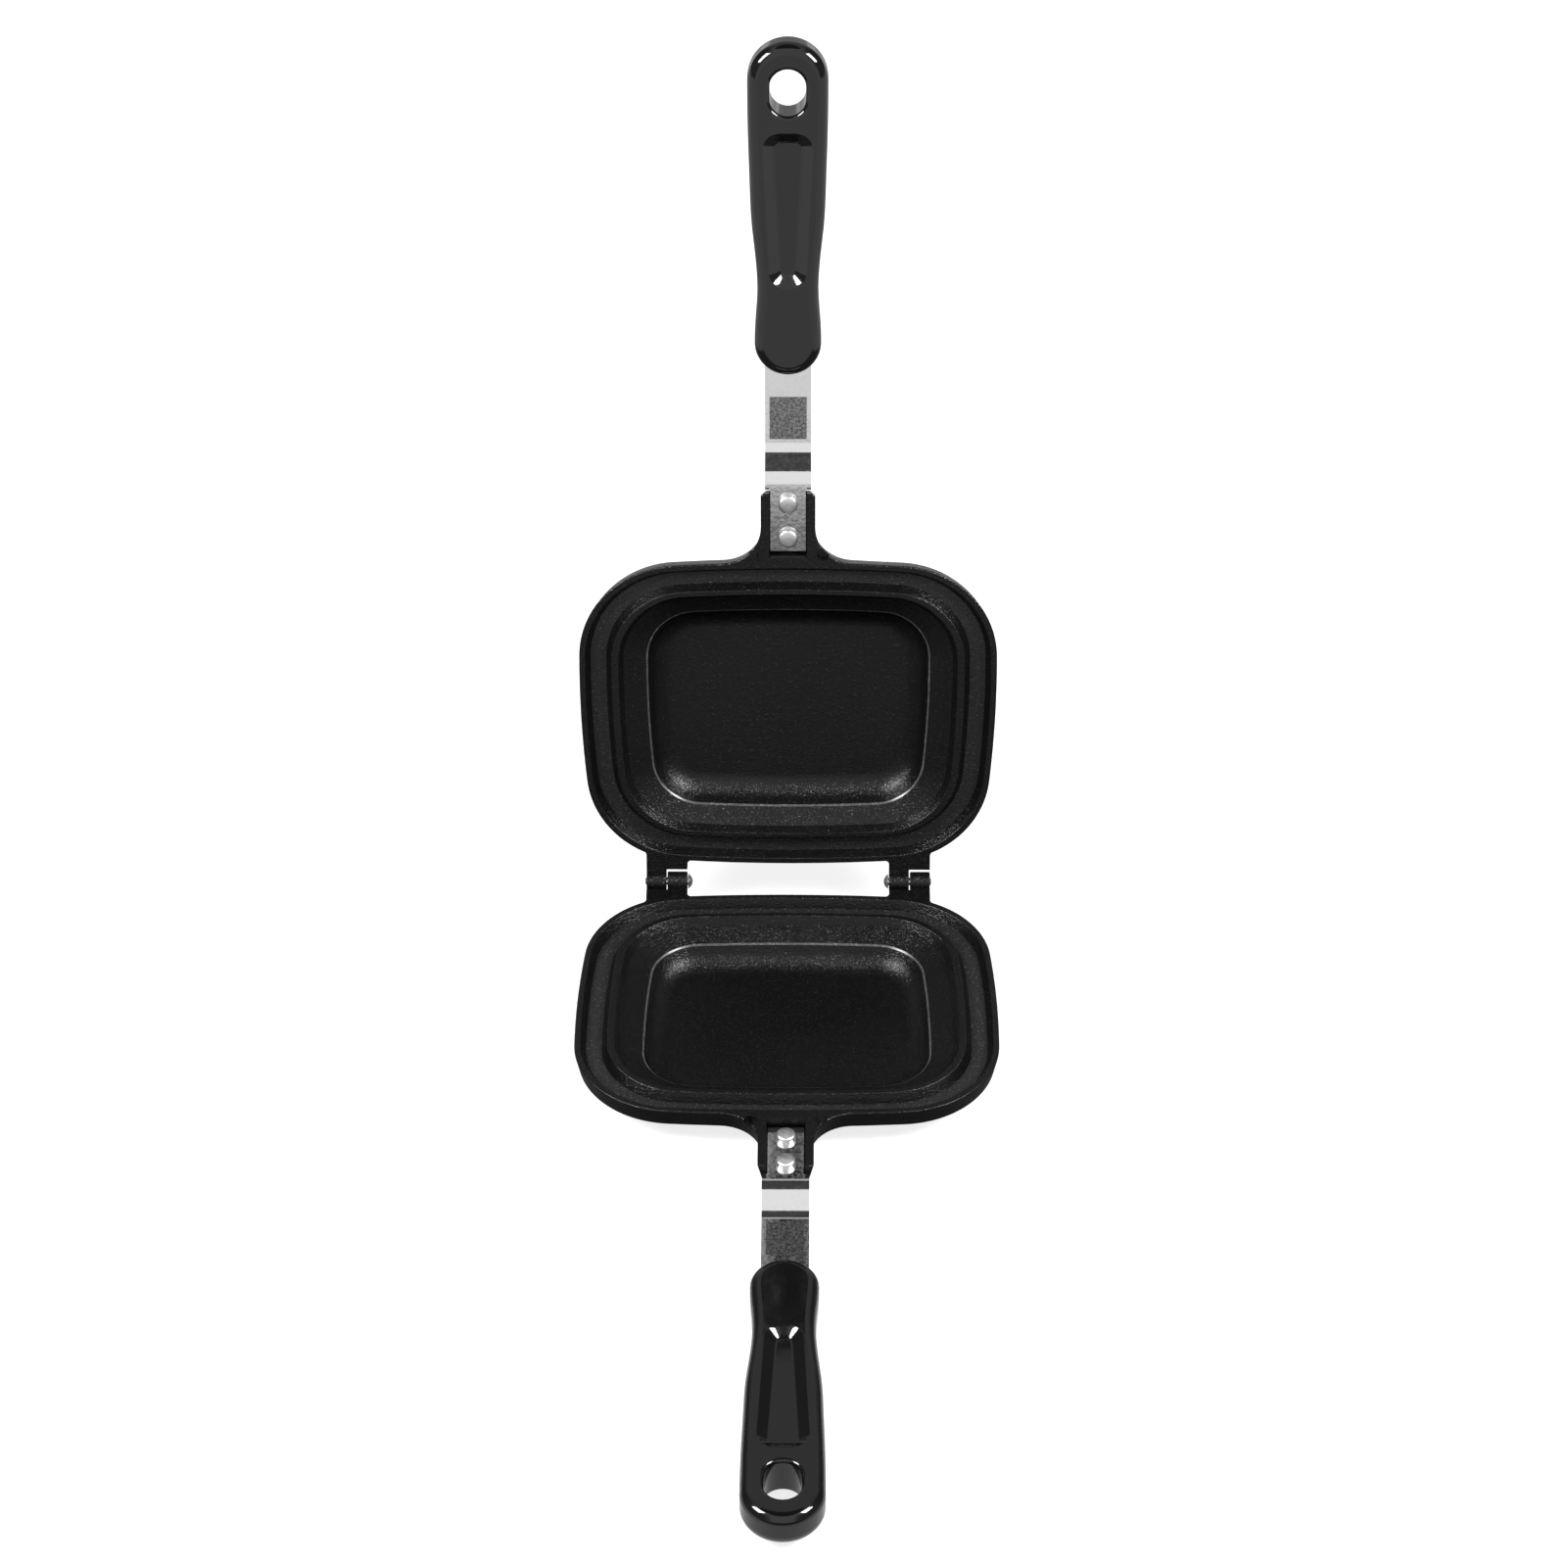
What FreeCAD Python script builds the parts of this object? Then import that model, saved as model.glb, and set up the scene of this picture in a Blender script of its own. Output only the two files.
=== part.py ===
import FreeCAD, Part
import math
import os

from FreeCAD import Placement, Rotation, Vector

# Double sided flip pan: two equal cast halves on a pinned hinge, each with a
# riveted steel strap and a moulded handle. The lower half lies on its base and
# the upper half stands open. Millimetres, +Z up, origin at the middle of the
# lower base, handles towards -Y, hinge towards +Y.

# Driving sizes, in groups by the piece that carries them
SIZES = {
    # whole part
    "pan_width": 158.0,
    "pan_length": 125.4,
    "half_depth": 17.5,
    "closed_gap": 0.3,
    "open_angle": 103.4,
    "cut_overrun": 1.0,
    # rim outline: bulged sides and ends joined by corner arcs
    "corner_radius": 37.5,
    "side_radius": 450.0,
    "side_shift_share": 0.27,
    "end_radius": 700.0,
    "corner_share": 0.73,
    # rim section from the outside inwards
    "skirt_height": 7.5,
    "skirt_draft": 1.5,
    "rim_round": 0.6,
    "bead_round": 0.5,
    "lip_side": 2.4,
    "lip_end": 2.4,
    "lip_run": 2.1,
    "trough_side": 5.7,
    "trough_end": 4.5,
    "trough_depth": 3.9,
    "bead_run": 2.1,
    "bead_side": 2.7,
    "bead_end": 1.9,
    "bead_inner_run": 1.8,
    "ledge_start_depth": 3.2,
    "ledge_side": 8.9,
    "ledge_end": 7.1,
    "ledge_end_depth": 6.5,
    # cavity and body
    "cavity_depth": 14.0,
    "cavity_draft": 4.2,
    "cavity_round": 10.0,
    "wall_top": 4.6,
    "wall_foot": 1.8,
    "base_round": 4.0,
    # hinge
    "axis_from_rim": 7.3,
    "hinge_outer": 54.4,
    "hinge_inner": 38.7,
    "web_gap": 4.9,
    "web_thickness": 5.2,
    "web_root": 7.0,
    "web_corner": 1.4,
    "knuckle_radius": 3.75,
    "knuckle_gap": 0.4,
    "knuckle_round": 0.4,
    "pin_radius": 1.5,
    "pin_clearance": 0.05,
    "pin_head_radius": 2.9,
    "pin_head_height": 1.7,
    "pin_head_gap": 0.3,
    "pin_tail_height": 0.5,
    "mark_radius": 3.2,
    "mark_depth": 0.35,
    # handle bracket on the casting
    "bracket_width": 20.7,
    "bracket_thickness": 7.5,
    "bracket_reach": 27.7,
    "bracket_root": 4.7,
    "flare_radius": 14.5,
    "prong_round": 1.2,
    "channel_width": 14.2,
    "channel_start": 2.1,
    "tang_drop": 3.6,
    # locating peg and hole
    "peg_side": 13.0,
    "peg_from_rim": 3.3,
    "peg_root_radius": 1.9,
    "peg_tip_radius": 1.3,
    "peg_height": 1.6,
    "peg_hole_radius": 2.4,
    "peg_hole_depth": 2.4,
    # strap
    "strap_thickness": 2.0,
    "strap_width": 17.2,
    "tang_width": 13.2,
    "tang_gap": 1.2,
    "shoulder_gap": 0.3,
    "bend_start": 4.8,
    "bend_run": 9.0,
    "bend_drop": 7.6,
    "bend_radius": 6.0,
    "tail_width": 13.0,
    "tail_cover": 8.0,
    "tail_length_share": 0.345,
    "tail_hole_radius": 3.0,
    "tail_hole_from_end": 9.0,
    # rivets
    "rivet_inner_share": 0.266,
    "rivet_outer_share": 0.80,
    "rivet_radius": 2.0,
    "rivet_clearance": 0.05,
    "rivet_head_radius": 3.6,
    "rivet_head_height": 2.9,
    "rivet_head_round": 0.8,
    "rivet_foot_radius": 3.5,
    "rivet_foot_height": 1.0,
    # handle
    "strap_span": 46.0,
    "handle_length": 127.2,
    "handle_end_width": 24.6,
    "handle_waist_width": 22.5,
    "handle_tip_width": 29.4,
    "handle_thickness": 15.0,
    "handle_drop": 0.4,
    "handle_inner_round": 4.0,
    "handle_outer_round": 6.0,
    "slot_clearance": 0.1,
    "hang_width": 13.2,
    "hang_length": 17.4,
    "hang_from_tip": 18.5,
    "hang_round": 1.5,
    "recess_start_share": 0.272,
    "recess_end_share": 0.737,
    "recess_start_width": 13.4,
    "recess_end_width": 18.9,
    "recess_depth": 2.8,
    "recess_run": 4.0,
    "recess_corner_share": 0.94,
    "recess_end_corner": 6.4,
    "recess_round": 1.8,
    "recess_edge_round": 0.5,
}

# Places along the handle outline, as shares of its length from the pan end
WAIST_SHARES = (0.255, 0.32)
SHOULDER_SHARES = (0.40, 0.465, 0.58)
# Width there, as shares of the way from the waist width to the tip width
SHOULDER_WIDTH_SHARES = (0.36, 0.60, 0.78)


doc = FreeCAD.newDocument("flip_pan")
sheet = doc.addObject("Spreadsheet::Sheet", "Sizes")
for row, (name, value) in enumerate(SIZES.items(), start=1):
    sheet.set("A%d" % row, name)
    sheet.set("B%d" % row, str(value))
    sheet.setAlias("B%d" % row, name)
doc.recompute()


def size(name):
    return float(sheet.get(name))


def bind(item, prop, formula):
    # A formula is written in the names of the sheet
    item.setExpression(prop, formula)


def cell(name):
    return "Sizes." + name


# Heights above the base, and distances along the pan, that several pieces share
LIP_Z = size("half_depth")
AXIS_Z = size("half_depth") + size("closed_gap") / 2
RIM_Y = size("pan_length") / 2
AXIS_Y = RIM_Y + size("axis_from_rim")
BRACKET_Y = -RIM_Y - size("bracket_reach")
CHANNEL_Y = -RIM_Y - size("channel_start")
PEG_Y = -RIM_Y - size("peg_from_rim")
HANDLE_Y = BRACKET_Y - size("strap_span")
TANG_Z = LIP_Z - size("tang_drop")
TAIL_Z = TANG_Z - size("bend_drop")
CHANNEL_Z = TANG_Z - size("strap_thickness")
BRACKET_Z = LIP_Z - size("bracket_thickness")
HANDLE_Z = LIP_Z - size("handle_drop")


def rivet_stations():
    # Places of the rivets along the channel, the one nearer the pan first
    channel = BRACKET_Y - CHANNEL_Y
    shares = (size("rivet_inner_share"), size("rivet_outer_share"))
    return [CHANNEL_Y + channel * share for share in shares]


def upper_placement():
    # Turned over on the lower half, then swung open about the hinge axis
    axis_point = Vector(0, AXIS_Y, AXIS_Z)
    turned = Placement(Vector(), Rotation(Vector(0, 1, 0), 180), axis_point)
    swing = Rotation(Vector(1, 0, 0), -size("open_angle"))
    return Placement(Vector(), swing, axis_point).multiply(turned)


# Helpers for bodies, sketches and features

def new_body(label):
    body = doc.addObject("PartDesign::Body", label)
    body.Label = label
    return body


def new_sketch(body, name, plane="XY_Plane", offset=None):
    sketch = body.newObject("Sketcher::SketchObject", body.Label + "_" + name)
    for feature in body.Origin.OriginFeatures:
        if feature.Role == plane:
            sketch.AttachmentSupport = [(feature, "")]
    sketch.MapMode = "FlatFace"
    if offset:
        bind(sketch, "AttachmentOffset.Base.z", offset)
    return sketch


def line(sketch, start, end):
    sketch.addGeometry(Part.LineSegment(start, end), False)


def arc(sketch, start, middle, end):
    sketch.addGeometry(Part.Arc(start, middle, end), False)


def circle(sketch, centre, radius):
    sketch.addGeometry(Part.Circle(centre, Vector(0, 0, 1), radius), False)


def polygon(sketch, points):
    for start, end in zip(points, points[1:] + points[:1]):
        line(sketch, start, end)


def pad(body, name, sketch, length, reverse=False, middle=False):
    feature = body.newObject("PartDesign::Pad", body.Label + "_" + name)
    feature.Profile = sketch
    bind(feature, "Length", length)
    feature.Reversed = reverse
    feature.Midplane = middle
    sketch.Visibility = False
    return feature


def pocket(body, name, sketch, length, reverse=False, middle=False):
    feature = body.newObject("PartDesign::Pocket", body.Label + "_" + name)
    feature.Profile = sketch
    bind(feature, "Length", length)
    feature.Reversed = reverse
    feature.Midplane = middle
    sketch.Visibility = False
    return feature


def loft(body, name, sketches, cut=False):
    kind = "PartDesign::SubtractiveLoft" if cut else "PartDesign::AdditiveLoft"
    feature = body.newObject(kind, body.Label + "_" + name)
    feature.Profile = sketches[0]
    feature.Sections = sketches[1:]
    feature.Ruled = True
    return feature


def revolve(body, name, sketch, axis="X_Axis"):
    feature = body.newObject("PartDesign::Revolution", body.Label + "_" + name)
    feature.Profile = sketch
    for origin in body.Origin.OriginFeatures:
        if origin.Role == axis:
            feature.ReferenceAxis = (origin, [""])
    feature.Angle = 360
    return feature


def round_edges(body, name, radius, chosen):
    # Fillet the edges of the last feature that the test picks
    doc.recompute()
    base = body.Tip
    names = []
    for number, edge in enumerate(base.Shape.Edges, start=1):
        if chosen(edge):
            names.append("Edge%d" % number)
    feature = body.newObject("PartDesign::Fillet", body.Label + "_" + name)
    feature.Base = (base, names)
    bind(feature, "Radius", radius)
    return feature


def at_height(edge, height):
    near = size("pin_clearance")
    box = edge.BoundBox
    return abs(box.ZMin - height) < near and abs(box.ZMax - height) < near


# The casting

def point_on(centre, towards, radius):
    return centre + (towards - centre).normalize() * radius


def rim_outline(sketch, inset_side, inset_end):
    # Eight tangent arcs: bulged sides and ends, and a corner between each two
    half_width = size("pan_width") / 2 - inset_side
    half_length = size("pan_length") / 2 - inset_end
    corner = size("corner_radius") - size("corner_share") * inset_side
    side = size("side_radius") - inset_side
    end = size("end_radius") - inset_end
    shift = -size("side_shift_share") * size("pan_length") / 2
    corners = []
    for across in (1, -1):
        for along in (1, -1):
            side_centre = Vector(across * (half_width - side), shift, 0)
            end_centre = Vector(0, along * (half_length - end), 0)
            gap = end_centre - side_centre
            reach_side = side - corner
            reach_end = end - corner
            along_gap = (reach_side ** 2 - reach_end ** 2 + gap.Length ** 2) / (2 * gap.Length)
            off_gap = math.sqrt(reach_side ** 2 - along_gap ** 2)
            unit = Vector(gap).normalize()
            normal = Vector(-unit.y, unit.x, 0)
            if normal.x * across < 0:
                normal = normal * -1
            centre = side_centre + unit * along_gap + normal * off_gap
            on_side = point_on(side_centre, centre, side)
            on_end = point_on(end_centre, centre, end)
            middle = point_on(centre, centre + (on_side - centre).normalize()
                              + (on_end - centre).normalize(), corner)
            corners.append((on_side, middle, on_end))
    right_back, right_front, left_back, left_front = corners
    right = Vector(half_width - side, shift, 0)
    left = Vector(side - half_width, shift, 0)
    right_middle = point_on(right, (right_front[0] + right_back[0]) / 2, side)
    left_middle = point_on(left, (left_front[0] + left_back[0]) / 2, side)
    arc(sketch, right_front[0], right_middle, right_back[0])
    arc(sketch, right_back[0], right_back[1], right_back[2])
    arc(sketch, right_back[2], Vector(0, half_length, 0), left_back[2])
    arc(sketch, left_back[2], left_back[1], left_back[0])
    arc(sketch, left_back[0], left_middle, left_front[0])
    arc(sketch, left_front[0], left_front[1], left_front[2])
    arc(sketch, left_front[2], Vector(0, -half_length, 0), right_front[2])
    arc(sketch, right_front[2], right_front[1], right_front[0])


def rim_insets():
    # Inset of each line of the rim section at the sides and at the ends
    steps = [
        ("lip", "lip_side", "lip_end"),
        ("trough_outer", "lip_run", "lip_run"),
        ("trough_inner", "trough_side", "trough_end"),
        ("bead_outer", "bead_run", "bead_run"),
        ("bead_inner", "bead_side", "bead_end"),
        ("ledge", "bead_inner_run", "bead_inner_run"),
        ("cavity", "ledge_side", "ledge_end"),
    ]
    insets = {"rim": (0.0, 0.0)}
    side, end = 0.0, 0.0
    for name, side_step, end_step in steps:
        side += size(side_step)
        end += size(end_step)
        insets[name] = (side, end)
    return insets


def ring(body, name, inset, height, extra=0.0):
    sketch = new_sketch(body, name, offset=height)
    rim_outline(sketch, inset[0] + extra, inset[1] + extra)
    return sketch


def casting_shell(body):
    insets = rim_insets()
    lip = cell("half_depth")
    skirt = lip + " - " + cell("skirt_height")
    cavity = insets["cavity"]
    base_ring = ring(body, "base_ring", cavity, "0 * " + lip, -size("wall_foot"))
    neck_ring = ring(body, "neck_ring", cavity, skirt, -size("wall_top"))
    loft(body, "bowl", [base_ring, neck_ring])
    skirt_ring = ring(body, "skirt_ring", insets["rim"], skirt, size("skirt_draft"))
    rim_ring = ring(body, "rim_ring", insets["rim"], lip)
    loft(body, "flange", [skirt_ring, rim_ring])
    casting_bracket(body)
    round_edges(body, "rim_edge", cell("rim_round"), lambda e: at_height(e, LIP_Z))
    round_edges(body, "base_edge", cell("base_round"), lambda e: at_height(e, 0))


def rim_loops(shape):
    # Edges of the closed outlines at lip height inside the outer rim
    found = []
    half = size("pan_width") / 2
    for face in shape.Faces:
        for wire in face.Wires:
            box = wire.BoundBox
            inner = half / 2 < box.XMax < half - size("lip_side") / 2
            if inner and at_height(wire, LIP_Z):
                found.extend(wire.Edges)
    return found


def casting_hollows(body):
    insets = rim_insets()
    lip = cell("half_depth")
    trough = lip + " - " + cell("trough_depth")
    ledge_start = lip + " - " + cell("ledge_start_depth")
    ledge_end = lip + " - " + cell("ledge_end_depth")
    floor = lip + " - " + cell("cavity_depth")
    steps = [
        ("trough", ("lip", lip), ("trough_outer", trough), True),
        ("bead", ("trough_inner", trough), ("bead_outer", lip), False),
        ("bead_inside", ("bead_inner", lip), ("ledge", ledge_start), True),
        ("ledge", ("ledge", ledge_start), ("cavity", ledge_end), True),
    ]
    for name, first, second, cut in steps:
        rings = [
            ring(body, name + "_a", insets[first[0]], first[1]),
            ring(body, name + "_b", insets[second[0]], second[1]),
        ]
        loft(body, name, rings, cut)
    rings = [
        ring(body, "cavity_a", insets["cavity"], ledge_end),
        ring(body, "cavity_b", insets["cavity"], floor, size("cavity_draft")),
    ]
    loft(body, "cavity", rings, True)
    floor_z = LIP_Z - size("cavity_depth")
    round_edges(body, "cavity_floor", cell("cavity_round"), lambda e: at_height(e, floor_z))
    doc.recompute()
    loops = rim_loops(body.Tip.Shape)
    round_edges(body, "bead_edges", cell("bead_round"), lambda e: any(e.isSame(o) for o in loops))


def bracket_outline(sketch, inset):
    # Prongs with hollow flanks that run out tangent to the rim
    half = size("bracket_width") / 2 - inset
    flare = size("flare_radius") + inset
    rim = size("end_radius") - inset
    rim_centre = Vector(0, size("end_radius") - RIM_Y, 0)
    tip = BRACKET_Y + inset
    root = -RIM_Y + size("bracket_root")
    corner = size("prong_round")
    diagonal = math.sqrt(0.5)
    for side in (1, -1):
        across = side * (half + flare)
        along = rim_centre.y - math.sqrt((rim + flare) ** 2 - (half + flare) ** 2)
        centre = Vector(across, along, 0)
        flare_end = point_on(rim_centre, centre, rim)
        flare_start = Vector(side * half, along, 0)
        middle = point_on(centre, (flare_end + flare_start) / 2, flare)
        line(sketch, Vector(0, root, 0), Vector(flare_end.x, root, 0))
        line(sketch, Vector(flare_end.x, root, 0), flare_end)
        arc(sketch, flare_end, middle, flare_start)
        line(sketch, flare_start, Vector(side * half, tip + corner, 0))
        arc(sketch, Vector(side * half, tip + corner, 0),
            Vector(side * (half - corner + corner * diagonal), tip + corner - corner * diagonal, 0),
            Vector(side * (half - corner), tip, 0))
        line(sketch, Vector(side * (half - corner), tip, 0), Vector(0, tip, 0))


def casting_bracket(body):
    # Drafted like the skirt, and added before the trough is cut
    lip = cell("half_depth")
    low = new_sketch(body, "bracket_low", offset=lip + " - " + cell("bracket_thickness"))
    bracket_outline(low, size("skirt_draft"))
    high = new_sketch(body, "bracket_high", offset=lip)
    bracket_outline(high, 0.0)
    loft(body, "bracket", [low, high])


def casting_channel(body):
    half = size("channel_width") / 2
    start = CHANNEL_Y
    end = BRACKET_Y - size("cut_overrun")
    sketch = new_sketch(body, "channel_sketch", offset=cell("half_depth"))
    polygon(sketch, [Vector(half, start, 0), Vector(-half, start, 0),
                     Vector(-half, end, 0), Vector(half, end, 0)])
    pocket(body, "channel", sketch, cell("tang_drop") + " + " + cell("strap_thickness"))
    holes = new_sketch(body, "rivet_holes_sketch", offset=cell("half_depth"))
    for station in rivet_stations():
        circle(holes, Vector(0, station, 0), size("rivet_radius") + size("rivet_clearance"))
    pocket(body, "rivet_holes", holes, cell("bracket_thickness") + " + " + cell("cut_overrun"))


def casting_peg(body):
    station = PEG_Y
    root = new_sketch(body, "peg_root", offset=cell("half_depth"))
    circle(root, Vector(size("peg_side"), station, 0), size("peg_root_radius"))
    tip = new_sketch(body, "peg_tip", offset=cell("half_depth") + " + " + cell("peg_height"))
    circle(tip, Vector(size("peg_side"), station, 0), size("peg_tip_radius"))
    loft(body, "peg", [root, tip])
    hole = new_sketch(body, "peg_hole_sketch", offset=cell("half_depth"))
    circle(hole, Vector(-size("peg_side"), station, 0), size("peg_hole_radius"))
    pocket(body, "peg_hole", hole, cell("peg_hole_depth"))


def casting_webs(body):
    # A short web on each side carries one knuckle, before the trough is cut
    sketch = new_sketch(body, "webs_sketch", offset=cell("half_depth"))
    near = AXIS_Y - size("web_gap") - size("web_root") - size("web_gap")
    far = AXIS_Y - size("web_gap")
    for side in (1, -1):
        inner = side * size("hinge_inner")
        outer = side * size("hinge_outer")
        polygon(sketch, [Vector(inner, near, 0), Vector(outer, near, 0),
                         Vector(outer, far, 0), Vector(inner, far, 0)])
    pad(body, "webs", sketch, cell("web_thickness"), reverse=True)
    base = LIP_Z - size("web_thickness")

    def web_corner(edge):
        box = edge.BoundBox
        upright = box.ZLength > size("web_thickness") / 2 and box.YMin > RIM_Y / 2
        inside = box.YMax < far - size("cut_overrun") and box.ZMin > base - size("rim_round")
        near_side = abs(max(abs(box.XMin), abs(box.XMax)) - size("hinge_inner")) < size("rim_round")
        far_side = abs(max(abs(box.XMin), abs(box.XMax)) - size("hinge_outer")) < size("rim_round")
        return upright and inside and (near_side or far_side)

    round_edges(body, "web_corners", cell("web_corner"), web_corner)


def knuckle_starts():
    # The knuckle nearer +X of each hinge belongs to this half
    middle = (size("hinge_outer") + size("hinge_inner")) / 2
    gap = size("knuckle_gap") / 2
    return (("right", middle + gap), ("left", -middle + gap))


def casting_knuckles(body):
    radius = size("knuckle_radius")
    length = "(%s - %s - %s) / 2" % (cell("hinge_outer"), cell("hinge_inner"), cell("knuckle_gap"))
    root_y = AXIS_Y - size("web_gap") - size("cut_overrun")
    for side, start in knuckle_starts():
        sketch = new_sketch(body, side + "_knuckle_sketch", "YZ_Plane", "0 * " + cell("hinge_inner"))
        sketch.AttachmentOffset = Placement(Vector(0, 0, start), Rotation())
        middle = "(%s + %s) / 2" % (cell("hinge_outer"), cell("hinge_inner"))
        sign = "" if side == "right" else "-"
        bind(sketch, "AttachmentOffset.Base.z", "%s%s + %s / 2" % (sign, middle, cell("knuckle_gap")))
        top = LIP_Z
        top_y = AXIS_Y - math.sqrt(radius ** 2 - (AXIS_Z - top) ** 2)
        low = AXIS_Z - radius
        line(sketch, Vector(root_y, low, 0), Vector(AXIS_Y, low, 0))
        arc(sketch, Vector(AXIS_Y, low, 0), Vector(AXIS_Y + radius, AXIS_Z, 0), Vector(top_y, top, 0))
        line(sketch, Vector(top_y, top, 0), Vector(root_y, top, 0))
        line(sketch, Vector(root_y, top, 0), Vector(root_y, low, 0))
        pad(body, side + "_knuckle", sketch, length)
    ends = []
    for _, start in knuckle_starts():
        ends.append(start)
        ends.append(start + (size("hinge_outer") - size("hinge_inner") - size("knuckle_gap")) / 2)

    def knuckle_end(edge):
        box = edge.BoundBox
        flat = min(abs(box.XMin - end) + abs(box.XMax - end) for end in ends)
        return flat < size("pin_clearance") and box.YMax > AXIS_Y + size("pin_radius")

    round_edges(body, "knuckle_ends", cell("knuckle_round"), knuckle_end)
    bore = new_sketch(body, "bore_sketch", "YZ_Plane", "0 * " + cell("hinge_inner"))
    circle(bore, Vector(AXIS_Y, AXIS_Z, 0), size("pin_radius") + size("pin_clearance"))
    pocket(body, "bore", bore, "2 * " + cell("hinge_outer") + " + " + cell("cut_overrun"), middle=True)


def casting_marks(body):
    # Shallow round ejector marks on the rim line, behind this half's knuckles
    sketch = new_sketch(body, "marks_sketch", offset=cell("half_depth"))
    length = (size("hinge_outer") - size("hinge_inner")) / 2
    for _, start in knuckle_starts():
        circle(sketch, Vector(start + length / 2, RIM_Y, 0), size("mark_radius"))
    pocket(body, "marks", sketch, cell("mark_depth"))


def make_casting(label, placement):
    body = new_body(label)
    casting_shell(body)
    casting_webs(body)
    casting_hollows(body)
    casting_channel(body)
    casting_peg(body)
    casting_knuckles(body)
    casting_marks(body)
    body.Placement = placement
    return body


# The strap

def bent_strip(sketch, corners, thickness, bend):
    # Upper line through the corners, lower line parallel to it, bends as arcs
    def offset_corner(index, distance):
        before = corners[max(index - 1, 0)]
        here = corners[index]
        after = corners[min(index + 1, len(corners) - 1)]
        first = (here - before).normalize() if index > 0 else (after - here).normalize()
        second = (after - here).normalize() if index < len(corners) - 1 else first
        normal = Vector(first.y, -first.x, 0) + Vector(second.y, -second.x, 0)
        normal.normalize()
        lean = normal.dot(Vector(first.y, -first.x, 0))
        return here + normal * (distance / lean)

    def run(points, radii):
        start = points[0]
        for index in range(1, len(points) - 1):
            here = points[index]
            first = (here - points[index - 1]).normalize()
            second = (points[index + 1] - here).normalize()
            turn = math.acos(max(-1, min(1, first.dot(second))))
            tangent = radii[index] * math.tan(turn / 2)
            begin = here - first * tangent
            finish = here + second * tangent
            towards = (second - first).normalize()
            centre = here + towards * (radii[index] / math.cos(turn / 2))
            middle = centre - towards * radii[index]
            line(sketch, start, begin)
            arc(sketch, begin, middle, finish)
            start = finish
        line(sketch, start, points[-1])

    count = len(corners)
    upper_radii = [0] * count
    lower_radii = [0] * count
    for index in range(1, count - 1):
        first = corners[index] - corners[index - 1]
        second = corners[index + 1] - corners[index]
        turns_left = first.x * second.y - first.y * second.x > 0
        upper_radii[index] = bend if turns_left else bend + thickness
        lower_radii[index] = bend + thickness if turns_left else bend
    lower = [offset_corner(index, thickness) for index in range(count)]
    run(corners, upper_radii)
    line(sketch, corners[-1], lower[-1])
    run(lower[::-1], lower_radii[::-1])
    line(sketch, lower[0], corners[0])


def strap_stations():
    tang = CHANNEL_Y - size("tang_gap")
    shoulder = BRACKET_Y - size("shoulder_gap")
    bend = shoulder - size("bend_start")
    foot = bend - size("bend_run")
    cover = HANDLE_Y - size("tail_cover")
    end = HANDLE_Y - size("handle_length") * size("tail_length_share")
    return tang, shoulder, bend, foot, cover, end


def make_strap(label, placement):
    tang, shoulder, bend, foot, cover, end = strap_stations()
    body = new_body(label)
    side = new_sketch(body, "side", "YZ_Plane")
    corners = [Vector(end, TAIL_Z, 0), Vector(foot, TAIL_Z, 0),
               Vector(bend, TANG_Z, 0), Vector(tang, TANG_Z, 0)]
    bent_strip(side, corners, size("strap_thickness"), size("bend_radius"))
    pad(body, "strip", side, cell("strap_width"), middle=True)
    half = size("strap_width") / 2 + size("cut_overrun")
    sides = new_sketch(body, "sides_sketch", offset=cell("half_depth"))
    for across in (1, -1):
        inner = across * size("tang_width") / 2
        outer = across * half
        far = tang + size("cut_overrun")
        polygon(sides, [Vector(inner, shoulder, 0), Vector(outer, shoulder, 0),
                        Vector(outer, far, 0), Vector(inner, far, 0)])
        inner = across * size("tail_width") / 2
        far = end - size("cut_overrun")
        polygon(sides, [Vector(inner, cover, 0), Vector(outer, cover, 0),
                        Vector(outer, far, 0), Vector(inner, far, 0)])
    pocket(body, "sides", sides, cell("half_depth"))
    holes = new_sketch(body, "holes_sketch", offset=cell("half_depth"))
    for station in rivet_stations():
        circle(holes, Vector(0, station, 0), size("rivet_radius") + size("rivet_clearance"))
    circle(holes, Vector(0, end + size("tail_hole_from_end"), 0), size("tail_hole_radius"))
    pocket(body, "holes", holes, cell("half_depth"))
    body.Placement = placement
    return body


# Rivets and hinge pins, turned about their own axes

def turned(body, name, points, arcs, plane, axis):
    # points is a closed outline; arcs maps an edge number to its middle point
    sketch = new_sketch(body, name + "_sketch", plane)
    for index, start in enumerate(points):
        end = points[(index + 1) % len(points)]
        if index in arcs:
            arc(sketch, start, arcs[index], end)
        else:
            line(sketch, start, end)
    return revolve(body, name, sketch, axis)


def make_rivet(label, number, placement):
    body = new_body(label)
    shank = size("rivet_radius")
    head = size("rivet_head_radius")
    foot = size("rivet_foot_radius")
    corner = size("rivet_head_round")
    diagonal = math.sqrt(0.5)
    top = TANG_Z + size("rivet_head_height")
    low = BRACKET_Z - size("rivet_foot_height")
    points = [
        Vector(0, top, 0),
        Vector(head - corner, top, 0),
        Vector(head, top - corner, 0),
        Vector(head, TANG_Z, 0),
        Vector(shank, TANG_Z, 0),
        Vector(shank, BRACKET_Z, 0),
        Vector(foot, BRACKET_Z, 0),
        Vector(foot - corner, low, 0),
        Vector(0, low, 0),
    ]
    round_point = Vector(head - corner + corner * diagonal, top - corner + corner * diagonal, 0)
    turned(body, "rivet", points, {1: round_point}, "XZ_Plane", "Z_Axis")
    station = rivet_stations()[number]
    body.Placement = placement.multiply(Placement(Vector(0, station, 0), Rotation()))
    return body


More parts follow.
